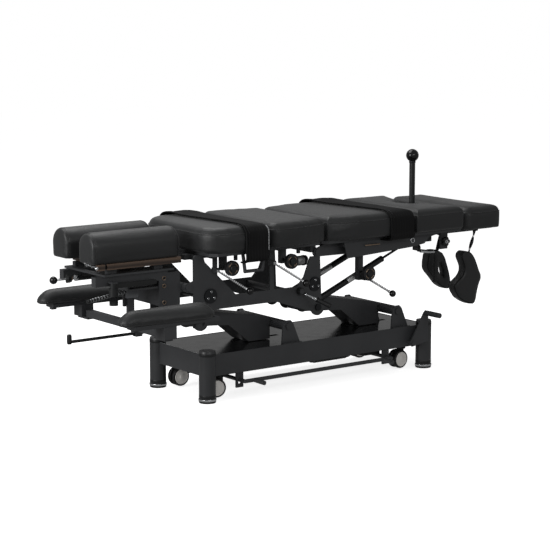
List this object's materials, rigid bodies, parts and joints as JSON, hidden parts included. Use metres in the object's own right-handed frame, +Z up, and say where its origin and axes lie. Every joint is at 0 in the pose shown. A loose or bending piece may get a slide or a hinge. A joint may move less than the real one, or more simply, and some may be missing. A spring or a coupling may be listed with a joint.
{
  "type": "chiropractic table",
  "caption": "Height-adjustable chiropractic table with sectioned drop cushions, a tilting head piece, swivel arm rests, a flexing foot end and retractable casters.",
  "frame": {"origin": "on the floor, at the middle of the outline in plan", "axes": "+X towards the foot end, +Y towards the side away from the pedal, +Z up"},
  "size_m": [2.046, 0.724, 0.91],
  "materials": {
    "frame_paint": "satin powder coat, charcoal",
    "deck_gloss": "glossy black paint",
    "rubber": "matt black rubber with a chrome ring",
    "black_plastic": "black moulded plastic",
    "tread": "black tread on a light grey hub",
    "chrome": "polished",
    "hub_grey": "grey paint with bright screws",
    "vinyl": "charcoal leatherette with sewn seams",
    "webbing": "black webbing",
    "board_wood": "dark walnut veneer"
  },
  "bodies": {
    "base": {"base_frame": "frame_paint", "base_deck": "deck_gloss", "leg_posts": "frame_paint", "levelling_feet": "rubber", "lower_pivot_shafts": "black_plastic", "lift_drive": "black_plastic"},
    "carriage": {"caster_carriage": "frame_paint"},
    "foot_bar": {"foot_bar": "frame_paint"},
    "pedal": {"caster_pedal": "frame_paint"},
    "rod": {"lift_rod": "chrome"},
    "head_arm": {"head_lift_arm": "frame_paint"},
    "foot_arm": {"foot_lift_arm": "frame_paint"},
    "centre": {"centre_frame": "frame_paint", "upper_pivot_shafts": "hub_grey"},
    "chest": {"chest_board": "frame_paint", "chest_cushion": "vinyl", "chest_strap": "webbing"},
    "chest_lever": {"chest_lever": "chrome"},
    "chest_wheel": {"chest_wheel": "black_plastic"},
    "lumbar": {"lumbar_board": "frame_paint", "lumbar_cushion": "vinyl"},
    "lumbar_lever": {"lumbar_lever": "chrome"},
    "lumbar_wheel": {"lumbar_wheel": "black_plastic"},
    "flexion_lever": {"flexion_lever": "black_plastic"},
    "caudal": {"caudal_frame": "frame_paint", "leg_cushion": "vinyl"},
    "pelvic": {"pelvic_board": "frame_paint", "pelvic_cushion": "vinyl", "pelvic_strap": "webbing"},
    "pelvic_lever": {"pelvic_lever": "chrome"},
    "pelvic_wheel": {"pelvic_wheel": "black_plastic"},
    "tiller": {"tiller": "black_plastic"},
    "traction_handle": {"traction_handle": "black_plastic"},
    "struts": {"strut_bodies": "black_plastic"},
    "strut_rods": {"strut_rods": "chrome"},
    "foot_section": {"foot_slide": "frame_paint", "foot_cushion": "vinyl"},
    "clamp_knob": {"clamp_knob": "black_plastic"},
    "cuffs": {"ankle_cuffs": "webbing"},
    "head": {"head_frame": "frame_paint"},
    "head_drop": {"head_tray": "frame_paint", "head_boards": "board_wood", "head_cushion_near": "vinyl", "head_cushion_far": "vinyl"},
    "head_lever": {"head_lever": "black_plastic"},
    "pull_knob": {"pull_knob": "black_plastic"},
    "arm_rests": {"armrest_carrier": "frame_paint"},
    "tilt_rod": {"tilt_rod": "black_plastic"},
    "near_rest": {"armrest_near": "frame_paint", "armrest_pad_near": "vinyl"},
    "far_rest": {"armrest_far": "frame_paint", "armrest_pad_far": "vinyl"},
    "yoke_1": {"caster_yoke_1": "black_plastic"},
    "wheels_1": {"caster_wheels_1": "tread"},
    "yoke_2": {"caster_yoke_2": "black_plastic"},
    "wheels_2": {"caster_wheels_2": "tread"},
    "yoke_3": {"caster_yoke_3": "black_plastic"},
    "wheels_3": {"caster_wheels_3": "tread"},
    "yoke_4": {"caster_yoke_4": "black_plastic"},
    "wheels_4": {"caster_wheels_4": "tread"}
  },
  "joints": [
    {"name": "lift", "type": "hinge", "parent": "base", "child": "head_arm", "pos_m": [-0.048, 0, 0.255], "axis": [0, 1, 0], "range_deg": [0, 40]},
    {"name": "foot_arm_pivot", "type": "hinge", "parent": "base", "child": "foot_arm", "pos_m": [0.523, 0, 0.255], "axis": [0, 1, 0], "range_deg": [0, 40]},
    {"name": "centre_pivot", "type": "hinge", "parent": "head_arm", "child": "centre", "pos_m": [-0.462, 0, 0.314], "axis": [0, 1, 0], "range_deg": [-40, 0]},
    {"name": "lift_rod_slide", "type": "slide", "parent": "base", "child": "rod", "axis": [1, 0, 0], "range_m": [-0.0822, 0]},
    {"name": "caster_drop", "type": "slide", "parent": "base", "child": "carriage", "axis": [0, 0, -1], "range_m": [0, 0.012]},
    {"name": "pedal_hinge", "type": "hinge", "parent": "base", "child": "pedal", "pos_m": [0.57, -0.212, 0.119], "axis": [0, 1, 0], "range_deg": [0, 35.1]},
    {"name": "foot_bar_travel", "type": "slide", "parent": "base", "child": "foot_bar", "axis": [0, 0, 1], "range_m": [-0.008, 0], "stiffness_N_per_m": 5000, "springref_m": 0.012},
    {"name": "swivel_1", "type": "hinge", "parent": "carriage", "child": "yoke_1", "pos_m": [-0.36, -0.132, 0.09], "axis": [0, 0, 1], "continuous": true},
    {"name": "roll_1", "type": "hinge", "parent": "yoke_1", "child": "wheels_1", "pos_m": [-0.3773, -0.12704, 0.0425], "axis": [0.2756, 0.9613, 0], "continuous": true},
    {"name": "swivel_2", "type": "hinge", "parent": "carriage", "child": "yoke_2", "pos_m": [-0.36, 0.132, 0.09], "axis": [0, 0, 1], "continuous": true},
    {"name": "roll_2", "type": "hinge", "parent": "yoke_2", "child": "wheels_2", "pos_m": [-0.378, 0.132, 0.0425], "axis": [0, 1, 0], "continuous": true},
    {"name": "swivel_3", "type": "hinge", "parent": "carriage", "child": "yoke_3", "pos_m": [0.574, -0.132, 0.09], "axis": [0, 0, 1], "continuous": true},
    {"name": "roll_3", "type": "hinge", "parent": "yoke_3", "child": "wheels_3", "pos_m": [0.55604, -0.13326, 0.0425], "axis": [-0.0698, 0.9976, 0], "continuous": true},
    {"name": "swivel_4", "type": "hinge", "parent": "carriage", "child": "yoke_4", "pos_m": [0.574, 0.132, 0.09], "axis": [0, 0, 1], "continuous": true},
    {"name": "roll_4", "type": "hinge", "parent": "yoke_4", "child": "wheels_4", "pos_m": [0.5561, 0.13388, 0.0425], "axis": [0.1045, 0.9945, 0], "continuous": true},
    {"name": "chest_drop", "type": "slide", "parent": "centre", "child": "chest", "axis": [0, 0, 1], "range_m": [0, 0.018]},
    {"name": "chest_lever_hinge", "type": "hinge", "parent": "centre", "child": "chest_lever", "pos_m": [-0.394, -0.168, 0.514], "axis": [1, 0, 0], "range_deg": [0, 35.1]},
    {"name": "chest_tension", "type": "hinge", "parent": "centre", "child": "chest_wheel", "pos_m": [-0.346, -0.2, 0.521], "axis": [0, 1, 0], "continuous": true},
    {"name": "lumbar_drop", "type": "slide", "parent": "centre", "child": "lumbar", "axis": [0, 0, 1], "range_m": [0, 0.018]},
    {"name": "lumbar_lever_hinge", "type": "hinge", "parent": "centre", "child": "lumbar_lever", "pos_m": [-0.121, -0.168, 0.518], "axis": [1, 0, 0], "range_deg": [0, 35.1]},
    {"name": "lumbar_tension", "type": "hinge", "parent": "centre", "child": "lumbar_wheel", "pos_m": [-0.058, -0.2, 0.522], "axis": [0, 1, 0], "continuous": true},
    {"name": "flexion_lever_hinge", "type": "hinge", "parent": "centre", "child": "flexion_lever", "pos_m": [0.015, -0.164, 0.39], "axis": [0, 1, 0], "range_deg": [-30, 30]},
    {"name": "caudal_hinge", "type": "hinge", "parent": "centre", "child": "caudal", "pos_m": [0.102, 0, 0.54], "axis": [0, 1, 0], "range_deg": [0, 15]},
    {"name": "pelvic_drop", "type": "slide", "parent": "caudal", "child": "pelvic", "axis": [0, 0, 1], "range_m": [0, 0.018]},
    {"name": "pelvic_lever_hinge", "type": "hinge", "parent": "caudal", "child": "pelvic_lever", "pos_m": [0.354, -0.17, 0.412], "axis": [1, 0, 0], "range_deg": [0, 35.1]},
    {"name": "pelvic_tension", "type": "hinge", "parent": "caudal", "child": "pelvic_wheel", "pos_m": [0.338, -0.2, 0.436], "axis": [0, 1, 0], "continuous": true},
    {"name": "tiller_hinge", "type": "hinge", "parent": "caudal", "child": "tiller", "pos_m": [0.741, 0, 0.556], "axis": [0, 1, 0], "range_deg": [-10, 10]},
    {"name": "traction_handle_hinge", "type": "hinge", "parent": "caudal", "child": "traction_handle", "pos_m": [0.67, -0.12, 0.505], "axis": [1, 0, 0], "range_deg": [-30, 30]},
    {"name": "strut_hinge", "type": "hinge", "parent": "centre", "child": "struts", "pos_m": [0.109, 0.1, 0.314], "axis": [0, 1, 0], "range_deg": [0, 13.6]},
    {"name": "strut_slide", "type": "slide", "parent": "struts", "child": "strut_rods", "axis": [0.9249, 0, 0.3802], "range_m": [-0.0575, 0]},
    {"name": "foot_extend", "type": "slide", "parent": "caudal", "child": "foot_section", "axis": [1, 0, 0], "range_m": [0, 0.12]},
    {"name": "clamp_turn", "type": "hinge", "parent": "caudal", "child": "clamp_knob", "pos_m": [0.78, -0.17, 0.528], "axis": [0, 1, 0], "continuous": true},
    {"name": "cuff_hinge", "type": "hinge", "parent": "foot_section", "child": "cuffs", "pos_m": [0.988, 0, 0.558], "axis": [0, 1, 0], "range_deg": [-20, 10]},
    {"name": "head_tilt", "type": "hinge", "parent": "centre", "child": "head", "pos_m": [-0.52, 0, 0.455], "axis": [0, 1, 0], "range_deg": [-25, 10]},
    {"name": "head_drop_slide", "type": "slide", "parent": "head", "child": "head_drop", "axis": [0, 0, 1], "range_m": [0, 0.015]},
    {"name": "head_lever_hinge", "type": "hinge", "parent": "head", "child": "head_lever", "pos_m": [-0.853, -0.152, 0.48], "axis": [0, 0, 1], "range_deg": [-60, 0]},
    {"name": "pull_knob_slide", "type": "slide", "parent": "head", "child": "pull_knob", "axis": [-1, 0, 0], "range_m": [0, 0.015], "stiffness_N_per_m": 800, "springref_m": -0.005},
    {"name": "arm_rest_height", "type": "slide", "parent": "head", "child": "arm_rests", "axis": [0, 0, 1], "range_m": [-0.06, 0.02]},
    {"name": "tilt_rod_turn", "type": "hinge", "parent": "arm_rests", "child": "tilt_rod", "pos_m": [-0.848, -0.1, 0.294], "axis": [1, 0, 0], "range_deg": [-45, 45]},
    {"name": "near_rest_swivel", "type": "hinge", "parent": "arm_rests", "child": "near_rest", "pos_m": [-0.716, -0.3, 0.33], "axis": [0, 0, 1], "range_deg": [-40, 15]},
    {"name": "far_rest_swivel", "type": "hinge", "parent": "arm_rests", "child": "far_rest", "pos_m": [-0.716, 0.3, 0.33], "axis": [0, 0, 1], "range_deg": [-15, 40]}
  ],
  "couplings": [
    {"joint": "foot_arm_pivot", "follows": "lift", "ratio": 1},
    {"joint": "centre_pivot", "follows": "lift", "ratio": -1},
    {"joint": "lift_rod_slide", "follows": "lift", "m_per_rad": -0.11758},
    {"joint": "pedal_hinge", "follows": "caster_drop", "rad_per_m": 50.9},
    {"joint": "chest_lever_hinge", "follows": "chest_drop", "rad_per_m": 33.9},
    {"joint": "lumbar_lever_hinge", "follows": "lumbar_drop", "rad_per_m": 33.9},
    {"joint": "pelvic_lever_hinge", "follows": "pelvic_drop", "rad_per_m": 33.9},
    {"joint": "strut_hinge", "follows": "caudal_hinge", "ratio": 0.9},
    {"joint": "strut_slide", "follows": "caudal_hinge", "m_per_rad": -0.219}
  ]
}
